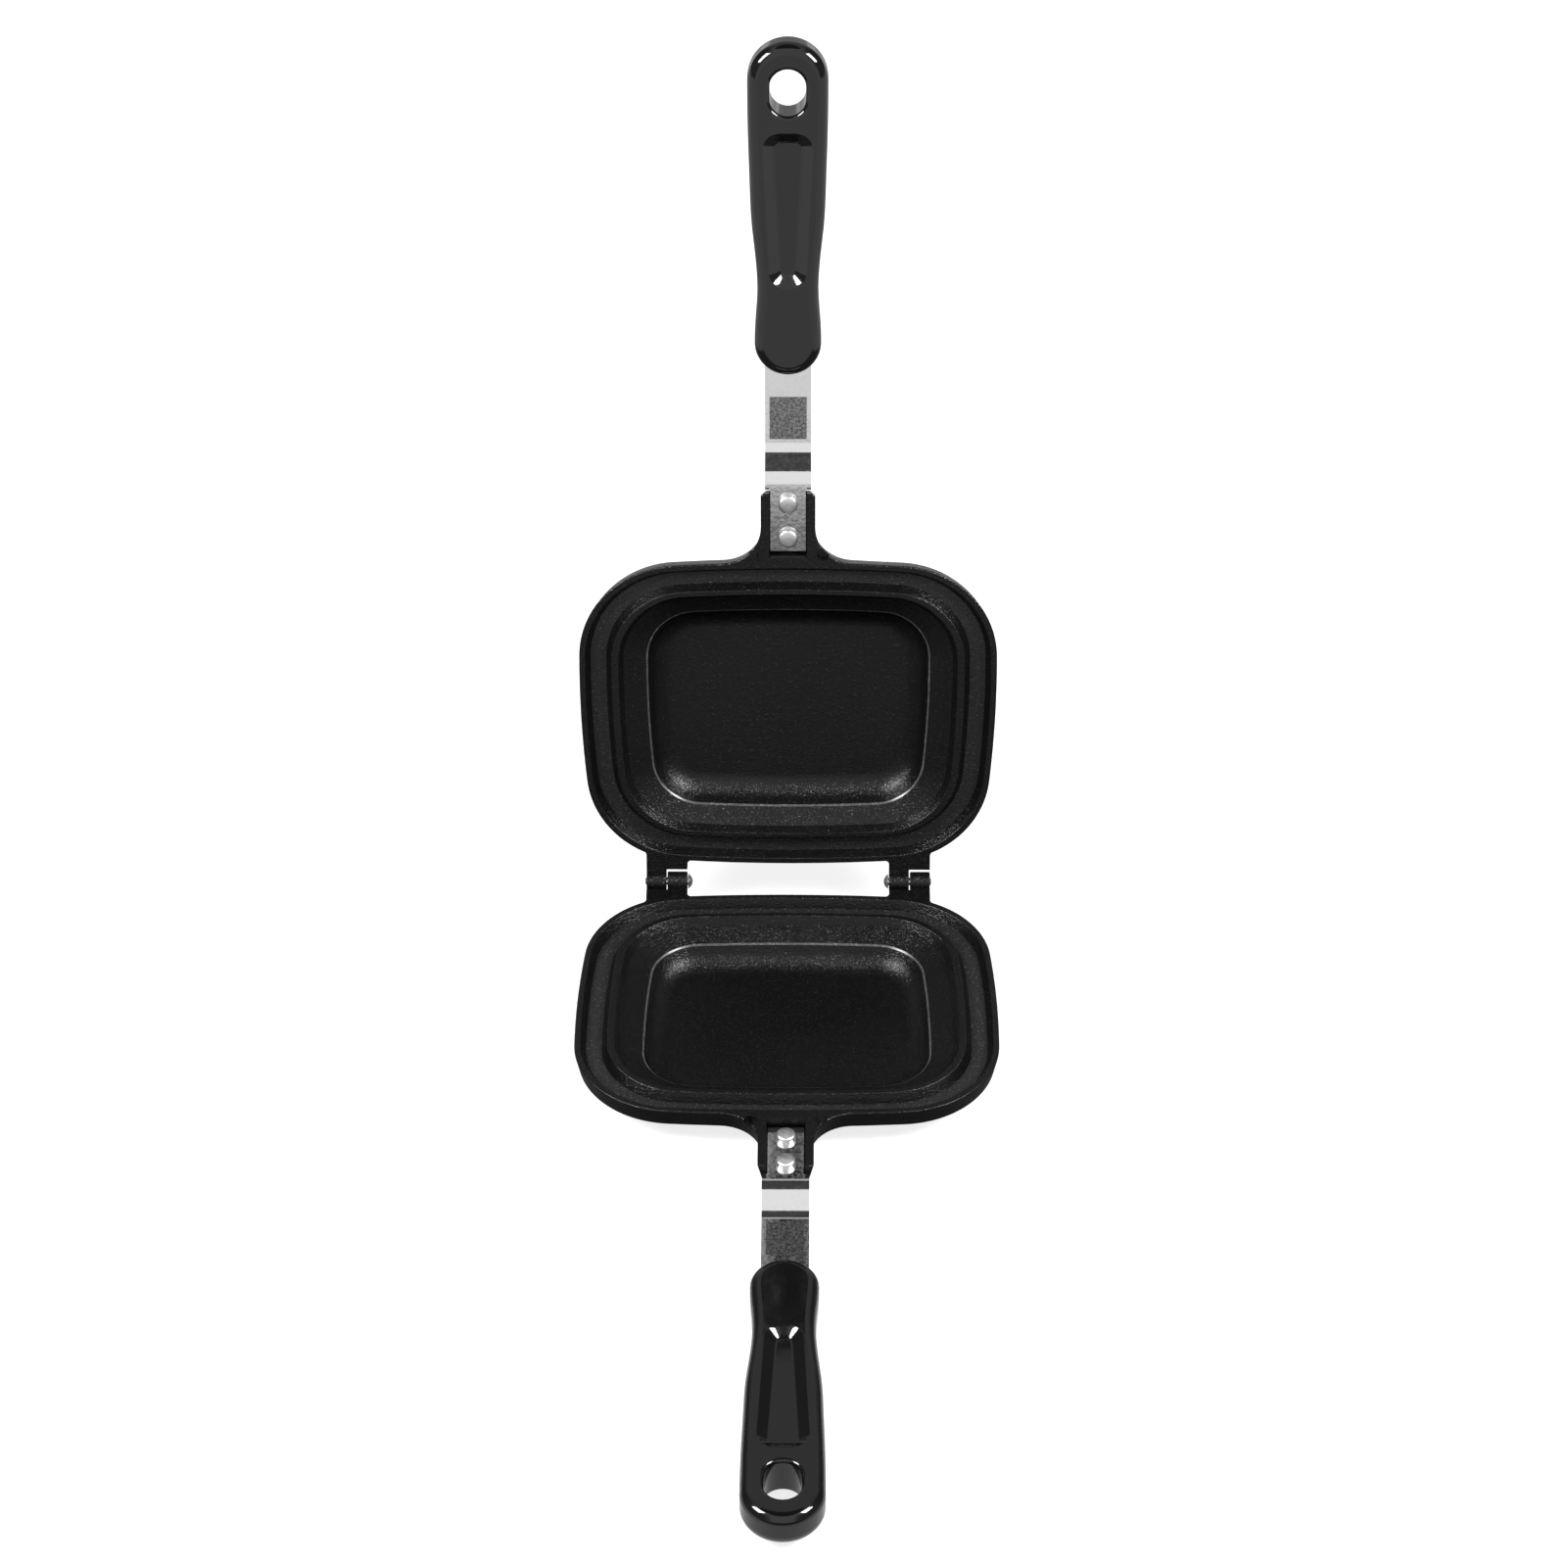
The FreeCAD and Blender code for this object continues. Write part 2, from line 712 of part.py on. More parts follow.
def make_pin(label, side):
    # side 1 is the pin nearer +X; the head faces the middle of the pan
    body = new_body(label)
    shank = size("pin_radius")
    head = size("pin_head_radius")
    seat = size("hinge_inner") - size("pin_head_gap")
    crown = seat - size("pin_head_height")
    outer = size("hinge_outer")
    tail = outer + size("pin_tail_height")
    rise = size("pin_head_height")
    dome = (head ** 2 + rise ** 2) / (2 * rise)
    angle = math.asin(head / dome) / 2
    points = [
        Vector(crown, 0, 0),
        Vector(seat, head, 0),
        Vector(seat, shank, 0),
        Vector(outer, shank, 0),
        Vector(tail, shank - size("pin_tail_height"), 0),
        Vector(tail, 0, 0),
    ]
    middle = Vector(crown + dome - dome * math.cos(angle), dome * math.sin(angle), 0)
    turned(body, "pin", points, {0: middle}, "XY_Plane", "X_Axis")
    turn = Rotation() if side > 0 else Rotation(Vector(0, 0, 1), 180)
    body.Placement = Placement(Vector(0, AXIS_Y, AXIS_Z), turn)
    return body


# The handle

def handle_outline(sketch):
    start = HANDLE_Y
    length = size("handle_length")
    tip = start - length
    end_radius = size("handle_end_width") / 2
    waist = size("handle_waist_width") / 2
    tip_radius = size("handle_tip_width") / 2
    end_y = start - end_radius
    tip_y = tip + tip_radius
    for side in (1, -1):
        points = [Vector(side * end_radius, end_y, 0)]
        points.append(Vector(side * waist, start - length * WAIST_SHARES[0], 0))
        for share, width_share in zip(SHOULDER_SHARES, SHOULDER_WIDTH_SHARES):
            half = waist + (tip_radius - waist) * width_share
            points.append(Vector(side * half, start - length * share, 0))
        points.append(Vector(side * tip_radius, tip_y, 0))
        curve = Part.BSplineCurve()
        curve.interpolate(points, InitialTangent=Vector(0, -1, 0), FinalTangent=Vector(0, -1, 0))
        sketch.addGeometry(curve, False)
    arc(sketch, Vector(end_radius, end_y, 0), Vector(0, start, 0), Vector(-end_radius, end_y, 0))
    arc(sketch, Vector(tip_radius, tip_y, 0), Vector(0, tip, 0), Vector(-tip_radius, tip_y, 0))


def handle_slot(body):
    # The space of the strap tail, closed round a boss that fills the tail's hole
    tang, shoulder, bend, foot, cover, end = strap_stations()
    gap = size("slot_clearance")
    top = cell("half_depth") + " - " + cell("tang_drop") + " - " + cell("bend_drop")
    sketch = new_sketch(body, "slot_sketch", offset=top + " + " + cell("slot_clearance"))
    wide = size("strap_width") / 2 + gap
    slim = size("tail_width") / 2 + gap
    mouth = HANDLE_Y + size("cut_overrun")
    step = cover - gap
    deep = end - gap
    polygon(sketch, [Vector(wide, mouth, 0), Vector(wide, step, 0), Vector(slim, step, 0),
                     Vector(slim, deep, 0), Vector(-slim, deep, 0), Vector(-slim, step, 0),
                     Vector(-wide, step, 0), Vector(-wide, mouth, 0)])
    boss = Vector(0, end + size("tail_hole_from_end"), 0)
    circle(sketch, boss, size("tail_hole_radius") - gap)
    pocket(body, "slot", sketch, cell("strap_thickness") + " + 2 * " + cell("slot_clearance"))


def handle_recess(body):
    # A finger recess with sloping walls, wider towards the hanging hole
    start = HANDLE_Y - size("handle_length") * size("recess_start_share")
    end = HANDLE_Y - size("handle_length") * size("recess_end_share")
    top = cell("half_depth") + " - " + cell("handle_drop")
    rings = []
    for name, run, height in (("upper", 0.0, top),
                              ("lower", size("recess_run"), top + " - " + cell("recess_depth"))):
        sketch = new_sketch(body, "recess_" + name, offset=height)
        near_half = size("recess_start_width") / 2 - run
        far_half = size("recess_end_width") / 2 - run
        near_corner = near_half * size("recess_corner_share")
        far_corner = size("recess_end_corner") - run
        rounded_trapezium(sketch, start - run, near_half, near_corner, end + run, far_half, far_corner)
        rings.append(sketch)
    loft(body, "recess", rings, True)
    floor = HANDLE_Z - size("recess_depth")
    round_edges(body, "recess_floor", cell("recess_round"), lambda e: at_height(e, floor))

    def recess_edge(edge):
        box = edge.BoundBox
        inside = box.YMax < start + size("pin_clearance") and box.YMin > end - size("pin_clearance")
        narrow = max(box.XMax, -box.XMin) < size("recess_end_width") / 2 + size("pin_clearance")
        return at_height(edge, HANDLE_Z) and inside and narrow

    round_edges(body, "recess_edge", cell("recess_edge_round"), recess_edge)


def rounded_trapezium(sketch, near, near_half, near_corner, far, far_half, far_corner):
    corners = [(Vector(near_half, near, 0), near_corner), (Vector(far_half, far, 0), far_corner),
               (Vector(-far_half, far, 0), far_corner), (Vector(-near_half, near, 0), near_corner)]
    count = len(corners)
    pieces = []
    for index, (here, corner) in enumerate(corners):
        before = corners[index - 1][0]
        after = corners[(index + 1) % count][0]
        first = (here - before).normalize()
        second = (after - here).normalize()
        turn = math.acos(first.dot(second))
        tangent = corner * math.tan(turn / 2)
        towards = (second - first).normalize()
        centre = here + towards * (corner / math.cos(turn / 2))
        pieces.append((here - first * tangent, centre - towards * corner, here + second * tangent))
    for index, piece in enumerate(pieces):
        arc(sketch, *piece)
        line(sketch, piece[2], pieces[(index + 1) % count][0])


def make_handle(label, placement):
    body = new_body(label)
    plan = new_sketch(body, "plan", offset=cell("half_depth") + " - " + cell("handle_drop"))
    handle_outline(plan)
    pad(body, "grip", plan, cell("handle_thickness"), reverse=True)
    low = HANDLE_Z - size("handle_thickness")
    round_edges(body, "outer_round", cell("handle_outer_round"), lambda e: at_height(e, low))
    round_edges(body, "inner_round", cell("handle_inner_round"), lambda e: at_height(e, HANDLE_Z))
    hang = new_sketch(body, "hang_sketch", offset=cell("half_depth") + " - " + cell("handle_drop"))
    middle = HANDLE_Y - size("handle_length") + size("hang_from_tip")
    radius = size("hang_width") / 2
    reach = size("hang_length") / 2 - radius
    for way in (1, -1):
        line(hang, Vector(way * radius, middle - reach, 0), Vector(way * radius, middle + reach, 0))
        arc(hang, Vector(-radius, middle + way * reach, 0),
            Vector(0, middle + way * (reach + radius), 0),
            Vector(radius, middle + way * reach, 0))
    pocket(body, "hang_hole", hang, cell("handle_thickness"))
    hang_near = middle + reach + radius + size("cut_overrun")
    hang_far = middle - reach - radius - size("cut_overrun")

    def round_hole(edge):
        box = edge.BoundBox
        inside = box.YMax < hang_near and box.YMin > hang_far
        inside = inside and max(abs(box.XMin), abs(box.XMax)) < radius + size("cut_overrun")
        return inside and (at_height(edge, HANDLE_Z) or at_height(edge, low))

    round_edges(body, "hole_edges", cell("hang_round"), round_hole)
    handle_recess(body)
    handle_slot(body)
    body.Placement = placement
    return body


# Both halves from the same functions

parts = []
for half, place in (("lower", Placement()), ("upper", upper_placement())):
    parts.append(make_casting(half + "_pan", place))
    parts.append(make_strap(half + "_strap", place))
    parts.append(make_rivet(half + "_rivet_inner", 0, place.copy()))
    parts.append(make_rivet(half + "_rivet_outer", 1, place.copy()))
    parts.append(make_handle(half + "_handle", place))
parts.append(make_pin("right_hinge_pin", 1))
parts.append(make_pin("left_hinge_pin", -1))
doc.recompute()

# Every object is checked before anything is written

faults = []
for item in doc.Objects:
    if "Invalid" in item.State or "Error" in item.State:
        faults.append(item.Name + " " + str(item.State))
for item in parts:
    shape = item.Shape
    if shape.isNull() or not shape.isValid() or len(shape.Solids) != 1:
        faults.append(item.Label + " shape")
if faults:
    raise RuntimeError("; ".join(faults))

os.makedirs("parts", exist_ok=True)
for item in parts:
    item.Shape.exportStep("parts/" + item.Label + ".step")
    print(item.Label, "volume", round(item.Shape.Volume), "mm3")
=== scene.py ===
import math

import bmesh
import bpy
from mathutils import Euler, Matrix, Vector


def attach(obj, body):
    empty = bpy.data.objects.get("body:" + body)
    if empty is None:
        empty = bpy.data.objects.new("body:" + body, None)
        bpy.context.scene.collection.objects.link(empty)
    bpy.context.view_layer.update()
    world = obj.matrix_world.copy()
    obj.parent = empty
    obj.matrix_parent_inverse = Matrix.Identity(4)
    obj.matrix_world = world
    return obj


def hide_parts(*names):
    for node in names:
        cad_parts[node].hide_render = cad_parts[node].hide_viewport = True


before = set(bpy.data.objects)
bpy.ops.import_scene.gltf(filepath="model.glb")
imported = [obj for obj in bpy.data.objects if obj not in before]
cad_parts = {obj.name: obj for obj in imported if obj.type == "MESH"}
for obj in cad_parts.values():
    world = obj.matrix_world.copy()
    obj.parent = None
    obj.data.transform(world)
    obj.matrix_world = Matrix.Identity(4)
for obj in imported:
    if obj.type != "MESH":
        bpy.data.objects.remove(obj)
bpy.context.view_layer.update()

# Places on the part, in metres
HINGE = Vector((0, 0.070, 0.01765))
OPEN_ANGLE = math.radians(103.4)
LAY_DOWN = Euler((OPEN_ANGLE, math.pi, 0))
RIM_HALF_WIDTH = 0.079
RIM_HALF_LENGTH = 0.0627
RIM_CORNER = 0.0375
CHANNEL_FLOOR = 0.0136
CHANNEL_OUTER_INSET = 0.0030
CHANNEL_INNER_INSET = 0.0135
CAVITY_EDGE_LOW = 0.0100
CAVITY_EDGE_HIGH = 0.0160
CAVITY_EDGE_REACH = 0.0605
PAINTED_REFLECTION_MIDDLE = 0.1163
PAINTED_REFLECTION_LOW = 0.0058

# Shaping of the visible copies
WELD_DISTANCE = 0.000005
FLAT_ANGLE = math.radians(0.5)
SHARP_ANGLE = math.radians(32)
RAISED_ANGLE = math.radians(24)
CAVITY_EDGE_ROUND = 0.00045
FACE_WEIGHT = 90
DOME_RINGS = 3
DOME_RING_WIDTH = 0.0007
DOME_CURVE = 55.0
DOME_DROP = 0.0006
HEAD_DEPTH = 0.0015

# Most of a soft noise lies between these two values
CLOUD_LOW = 0.3
CLOUD_HIGH = 0.7


def grey(value, blue=None):
    return (value, value, value if blue is None else blue, 1)


COATING_COLOURS = (grey(0.0014, 0.0015), grey(0.0024, 0.0026))
CHANNEL_COLOURS = (grey(0.0075, 0.0078), grey(0.0100, 0.0103))
FLECK_COLOURS = (grey(0.014, 0.0145), grey(0.050, 0.051))
# Lighter colours for the small edge rounds: a painted highlight
PAINTED_EDGE_HIGHLIGHT_COLOURS = (grey(0.026, 0.0265), grey(0.070, 0.071))
SHEET_COLOURS = (grey(0.66, 0.67), grey(0.80))
SHEET_LINE_COLOUR = grey(0.74)
# Darker mottled colours for a patch on the strap: a painted dark reflection
PAINTED_REFLECTION_COLOURS = (grey(0.12), grey(0.34))
MOULDING_COLOURS = (grey(0.0015, 0.0016), grey(0.0024, 0.0025))
RIVET_COLOUR = (0.50, 0.50, 0.50)
PIN_COLOUR = (0.74, 0.74, 0.75)


# Shared effects

def new_group(name, inputs, outputs):
    group = bpy.data.node_groups.new(name, "ShaderNodeTree")
    for label, kind, value in inputs:
        socket = group.interface.new_socket(label, in_out="INPUT", socket_type=kind)
        socket.default_value = value
    for label, kind in outputs:
        group.interface.new_socket(label, in_out="OUTPUT", socket_type=kind)
    start = group.nodes.new("NodeGroupInput")
    end = group.nodes.new("NodeGroupOutput")
    return group, start, end


def maths(tree, operation, first, second=None, clamp=False):
    node = tree.nodes.new("ShaderNodeMath")
    node.operation = operation
    node.use_clamp = clamp
    for socket, value in zip(node.inputs, (first, second)):
        if value is None:
            continue
        if isinstance(value, (int, float)):
            socket.default_value = value
        else:
            tree.links.new(value, socket)
    return node.outputs[0]


def ramp(tree, value, low, high, out_low=0.0, out_high=1.0):
    node = tree.nodes.new("ShaderNodeMapRange")
    node.interpolation_type = "SMOOTHSTEP"
    tree.links.new(value, node.inputs["Value"])
    node.inputs["From Min"].default_value = low
    node.inputs["From Max"].default_value = high
    node.inputs["To Min"].default_value = out_low
    node.inputs["To Max"].default_value = out_high
    return node.outputs["Result"]


def blend_colour(tree, factor, first, second):
    node = tree.nodes.new("ShaderNodeMix")
    node.data_type = "RGBA"
    sockets = (node.inputs[0], node.inputs[6], node.inputs[7])
    for socket, value in zip(sockets, (factor, first, second)):
        if isinstance(value, tuple):
            socket.default_value = value
        else:
            tree.links.new(value, socket)
    return node.outputs[2]


def noise_at(tree, vector, scale, detail, roughness):
    node = tree.nodes.new("ShaderNodeTexNoise")
    tree.links.new(vector, node.inputs["Vector"])
    node.inputs["Detail"].default_value = detail
    node.inputs["Roughness"].default_value = roughness
    if isinstance(scale, (int, float)):
        node.inputs["Scale"].default_value = scale
    else:
        tree.links.new(scale, node.inputs["Scale"])
    return node.outputs["Fac"]


def split_axes(tree, vector):
    node = tree.nodes.new("ShaderNodeSeparateXYZ")
    tree.links.new(vector, node.inputs[0])
    return node.outputs


def speckle_group():
    # Fine bright flecks, a soft grain and wide clouds, as a sprayed coating has
    group, start, end = new_group(
        "Speckle",
        [("Vector", "NodeSocketVector", (0, 0, 0)), ("Size mm", "NodeSocketFloat", 0.5),
         ("Cover", "NodeSocketFloat", 0.3)],
        [("Flecks", "NodeSocketFloat"), ("Grain", "NodeSocketFloat"),
         ("Clouds", "NodeSocketFloat")])
    millimetres = 1000.0
    scale = maths(group, "DIVIDE", millimetres, start.outputs["Size mm"])
    fine = noise_at(group, start.outputs["Vector"], scale, 1.0, 0.5)
    highest = 0.8
    threshold = maths(group, "SUBTRACT", highest, start.outputs["Cover"])
    contrast = 7.0
    flecks = maths(group, "MULTIPLY", maths(group, "SUBTRACT", fine, threshold), contrast, True)
    group.links.new(flecks, end.inputs["Flecks"])
    group.links.new(fine, end.inputs["Grain"])
    clouds = noise_at(group, start.outputs["Vector"], 28.0, 3.0, 0.55)
    group.links.new(clouds, end.inputs["Clouds"])
    return group


def channel_group():
    # One on the flat floor of the drip channel, from its height and its ring round the cavity
    group, start, end = new_group(
        "Drip channel floor",
        [("Vector", "NodeSocketVector", (0, 0, 0))],
        [("Mask", "NodeSocketFloat")])
    axes = split_axes(group, start.outputs["Vector"])
    squares = []
    for axis, half in (("X", RIM_HALF_WIDTH - RIM_CORNER), ("Y", RIM_HALF_LENGTH - RIM_CORNER)):
        past = maths(group, "SUBTRACT", maths(group, "ABSOLUTE", axes[axis]), half)
        reach = maths(group, "MAXIMUM", past, 0.0)
        squares.append(maths(group, "MULTIPLY", reach, reach))
    across = maths(group, "SQRT", maths(group, "ADD", squares[0], squares[1]))
    inside = maths(group, "LESS_THAN", across, RIM_CORNER - CHANNEL_OUTER_INSET)
    outside = maths(group, "GREATER_THAN", across, RIM_CORNER - CHANNEL_INNER_INSET)
    height = maths(group, "ABSOLUTE", maths(group, "SUBTRACT", axes["Z"], CHANNEL_FLOOR))
    level = ramp(group, height, 0.0001, 0.0004, 1.0, 0.0)
    mask = maths(group, "MULTIPLY", maths(group, "MULTIPLY", inside, outside), level)
    group.links.new(mask, end.inputs["Mask"])
    return group


def line_group():
    # Fine drawn lines, which the coordinates stretch along one direction
    group, start, end = new_group(
        "Drawn lines",
        [("Vector", "NodeSocketVector", (0, 0, 0))],
        [("Lines", "NodeSocketFloat")])
    lines = noise_at(group, start.outputs["Vector"], 1400.0, 2.0, 0.6)
    group.links.new(lines, end.inputs["Lines"])
    return group


SPECKLE = speckle_group()
CHANNEL = channel_group()
LINES = line_group()


# Materials

def new_material(name):
    material = bpy.data.materials.new(name)
    material.use_nodes = True
    tree = material.node_tree
    shader = tree.nodes["Principled BSDF"]
    coordinates = tree.nodes.new("ShaderNodeTexCoord")
    return material, tree, shader, coordinates.outputs["Object"]


def place_group(tree, group, vector, **values):
    node = tree.nodes.new("ShaderNodeGroup")
    node.node_tree = group
    tree.links.new(vector, node.inputs["Vector"])
    for name, value in values.items():
        node.inputs[name.replace("_", " ")].default_value = value
    return node.outputs


def mapped(tree, vector, scale, rotation=(0, 0, 0), shift=(0, 0, 0)):
    node = tree.nodes.new("ShaderNodeMapping")
    node.inputs["Scale"].default_value = scale
    node.inputs["Rotation"].default_value = rotation
    node.inputs["Location"].default_value = shift
    tree.links.new(vector, node.inputs["Vector"])
    return node.outputs["Vector"]


def as_laid_down(tree, place, half):
    # Coordinates of the upper half as if it lay where the lower half lies
    if half == "lower":
        return place
    shift = HINGE - LAY_DOWN.to_matrix() @ HINGE
    return mapped(tree, place, (1, 1, 1), LAY_DOWN, shift)


def set_colour(tree, shader, colour):
    tree.links.new(colour, shader.inputs["Base Color"])


def set_roughness(tree, shader, clouds, low, high):
    rough = ramp(tree, clouds, CLOUD_LOW, CLOUD_HIGH, low, high)
    tree.links.new(rough, shader.inputs["Roughness"])


def add_bump(tree, shader, height, strength, distance):
    bump = tree.nodes.new("ShaderNodeBump")
    bump.inputs["Strength"].default_value = strength
    bump.inputs["Distance"].default_value = distance
    tree.links.new(height, bump.inputs["Height"])
    tree.links.new(bump.outputs["Normal"], shader.inputs["Normal"])


def coating(half):
    material, tree, shader, place = new_material("Dark nonstick coating, %s half" % half)
    speckle = place_group(tree, SPECKLE, place, Size_mm=0.6, Cover=0.17)
    channel = place_group(tree, CHANNEL, as_laid_down(tree, place, half))["Mask"]
    plain = blend_colour(tree, speckle["Clouds"], *COATING_COLOURS)
    rough = blend_colour(tree, speckle["Clouds"], *CHANNEL_COLOURS)
    ground = blend_colour(tree, channel, plain, rough)
    fleck = blend_colour(tree, channel, *FLECK_COLOURS)
    set_colour(tree, shader, blend_colour(tree, speckle["Flecks"], ground, fleck))
    set_roughness(tree, shader, speckle["Clouds"], 0.22, 0.28)
    shader.inputs["Specular IOR Level"].default_value = 0.25
    add_bump(tree, shader, speckle["Grain"], 0.9, 0.00028)
    return material


def edge_highlight_coating():
    # The edges that get a small round take a lighter colour, which is a painted highlight along
    # them
    material, tree, shader, place = new_material("Coating with painted edge highlight")
    speckle = place_group(tree, SPECKLE, place, Size_mm=0.75, Cover=0.3)
    set_colour(tree, shader, blend_colour(tree, speckle["Flecks"], *PAINTED_EDGE_HIGHLIGHT_COLOURS))
    set_roughness(tree, shader, speckle["Clouds"], 0.26, 0.34)
    return material


def painted_reflection_panel_mask(tree, laid):
    # One on a patch in the middle of the strap's flat beside the grip, where a dark reflection
    # is painted
    axes = split_axes(tree, laid)
    across = ramp(tree, maths(tree, "ABSOLUTE", axes["X"]), 0.0067, 0.0071, 1.0, 0.0)
    from_middle = maths(tree, "ABSOLUTE", maths(tree, "ADD", axes["Y"], PAINTED_REFLECTION_MIDDLE))
    along = ramp(tree, from_middle, 0.0082, 0.0086, 1.0, 0.0)
    above = maths(tree, "GREATER_THAN", axes["Z"], PAINTED_REFLECTION_LOW)
    return maths(tree, "MULTIPLY", maths(tree, "MULTIPLY", across, along), above)


def sheet_steel(half):
    material, tree, shader, place = new_material("Rolled sheet steel, %s half" % half)
    laid = as_laid_down(tree, place, half)
    lines = place_group(tree, LINES, mapped(tree, laid, (1.0, 0.06, 0.06)))["Lines"]
    smudges = noise_at(tree, laid, 700.0, 3.0, 0.6)
    bright = blend_colour(tree, smudges, *SHEET_COLOURS)
    bright = blend_colour(tree, lines, bright, SHEET_LINE_COLOUR)
    # The patch takes a darker mottled colour, which is a painted dark reflection, and it is
    # also rougher
    painted_reflection_panel = painted_reflection_panel_mask(tree, laid)
    mottle = ramp(tree, noise_at(tree, laid, 1100.0, 2.0, 0.6), 0.35, 0.65)
    darker_tone = blend_colour(tree, mottle, *PAINTED_REFLECTION_COLOURS)
    set_colour(tree, shader, blend_colour(tree, painted_reflection_panel, bright, darker_tone))
    shader.inputs["Metallic"].default_value = 1.0
    rough = ramp(tree, smudges, CLOUD_LOW, CLOUD_HIGH, 0.06, 0.14)
    rough = maths(tree, "ADD", rough, maths(tree, "MULTIPLY", painted_reflection_panel, 0.10))
    tree.links.new(rough, shader.inputs["Roughness"])
    add_bump(tree, shader, smudges, 0.10, 0.00015)
    return material


def turned_steel(name, colour, rough):
    material, tree, shader, place = new_material(name)
    smudges = noise_at(tree, place, 500.0, 3.0, 0.6)
    darker_tone = tuple(channel * 0.8 for channel in colour)
    set_colour(tree, shader, blend_colour(tree, smudges, darker_tone + (1,), colour + (1,)))
    shader.inputs["Metallic"].default_value = 1.0
    set_roughness(tree, shader, smudges, rough, rough + 0.10)
    add_bump(tree, shader, smudges, 0.08, 0.0002)
    return material


def moulding():
    material, tree, shader, place = new_material("Black gloss moulding")
    clouds = place_group(tree, SPECKLE, place)["Clouds"]
    set_colour(tree, shader, blend_colour(tree, clouds, *MOULDING_COLOURS))
    set_roughness(tree, shader, clouds, 0.05, 0.10)
    add_bump(tree, shader, clouds, 0.12, 0.0015)
    return material


EDGE_HIGHLIGHT_COATING = edge_highlight_coating()
COATING = {"lower": coating("lower"), "upper": coating("upper")}
STEEL = {"lower": sheet_steel("lower"), "upper": sheet_steel("upper")}
RIVET_STEEL = turned_steel("Rivet steel", RIVET_COLOUR, 0.40)
PIN_STEEL = turned_steel("Plain pin steel", PIN_COLOUR, 0.18)
MOULDING = moulding()


# Pieces: each CAD node gets a smooth copy of itself

def dome_head(shape, facing):
    # The rivet's flat top swells to a low dome that stays inside the head
    level = [face for face in shape.faces if face.normal.dot(facing) > 0.99]
    top = max(level, key=lambda face: face.calc_area())
    centre = top.calc_center_median()
    for _ in range(DOME_RINGS):
        bmesh.ops.inset_individual(shape, faces=[top], thickness=DOME_RING_WIDTH)
    for vert in shape.verts:
        offset = vert.co - centre
        depth = offset.dot(facing)
        if depth > -HEAD_DEPTH:
            across = (offset - depth * facing).length
            vert.co -= facing * min(DOME_CURVE * across ** 2, DOME_DROP)


def on_cavity_edge(edge, half):
    # Mostly the ring between the ledge and the cavity, once either half is laid down.
    # The heights also catch small corners at the hinge webs, and part of the lower edge
    # of the upper half's outer wall, which lies just at the low limit
    places = [vert.co for vert in edge.verts]
    if half == "upper":
        places = [HINGE + LAY_DOWN.to_matrix() @ (place - HINGE) for place in places]
    return all(abs(place.y) < CAVITY_EDGE_REACH
               and CAVITY_EDGE_LOW < place.z < CAVITY_EDGE_HIGH for place in places)


def add_edge_round(piece):
    soft = piece.modifiers.new("Small edge rounds", "BEVEL")
    soft.limit_method = "WEIGHT"
    soft.width = CAVITY_EDGE_ROUND
    soft.segments = 2
    soft.use_clamp_overlap = False
    # The small rounds take the lighter coating, which is a painted highlight
    piece.data.materials.append(EDGE_HIGHLIGHT_COATING)
    soft.material = 1


def add_even_shading(piece):
    # Flat faces stay flat up to their edges, and only the rounds between them turn
    even = piece.modifiers.new("Even shading", "WEIGHTED_NORMAL")
    even.mode = "FACE_AREA"
    even.weight = FACE_WEIGHT
    even.keep_sharp = True


def smooth_copy(node, body, material, slot, facing=None):
    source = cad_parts[node]
    shape = bmesh.new()
    shape.from_mesh(source.data)
    bmesh.ops.remove_doubles(shape, verts=shape.verts, dist=WELD_DISTANCE)
    bmesh.ops.dissolve_limit(
        shape, angle_limit=FLAT_ANGLE, verts=shape.verts, edges=shape.edges)
    if facing is not None:
        dome_head(shape, facing)
    for face in shape.faces:
        face.smooth = True
    half = body.split("_")[0]
    raised = shape.edges.layers.float.new("bevel_weight_edge")
    for edge in shape.edges:
        if len(edge.link_faces) == 2:
            turn = edge.calc_face_angle_signed(0)
            edge.smooth = abs(turn) < SHARP_ANGLE
            edge[raised] = float(turn >= RAISED_ANGLE and on_cavity_edge(edge, half))
    mesh = bpy.data.meshes.new(node + "_surface")
    shape.to_mesh(mesh)
    shape.free()
    # This also sets every face back to the first material
    mesh.materials.clear()
    mesh.materials.append(material)
    piece = bpy.data.objects.new(node + "_surface", mesh)
    bpy.context.scene.collection.objects.link(piece)
    if slot == "casting":
        add_edge_round(piece)
    add_even_shading(piece)
    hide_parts(node)
    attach(piece, body)


# The upper half leans back past vertical
LEAN = OPEN_ANGLE - math.pi / 2
FACING = {"lower": Vector((0, 0, 1)), "upper": Vector((0, -math.cos(LEAN), math.sin(LEAN)))}
for half in ("lower", "upper"):
    body = half + "_half"
    smooth_copy(half + "_pan", body, COATING[half], "casting")
    smooth_copy(half + "_strap", body, STEEL[half], "strap")
    smooth_copy(half + "_rivet_inner", body, RIVET_STEEL, "rivet", FACING[half])
    smooth_copy(half + "_rivet_outer", body, RIVET_STEEL, "rivet", FACING[half])
    smooth_copy(half + "_handle", body, MOULDING, "grip")
for side in ("left", "right"):
    smooth_copy(side + "_hinge_pin", "lower_half", PIN_STEEL, "pin")


# Floor, light and camera

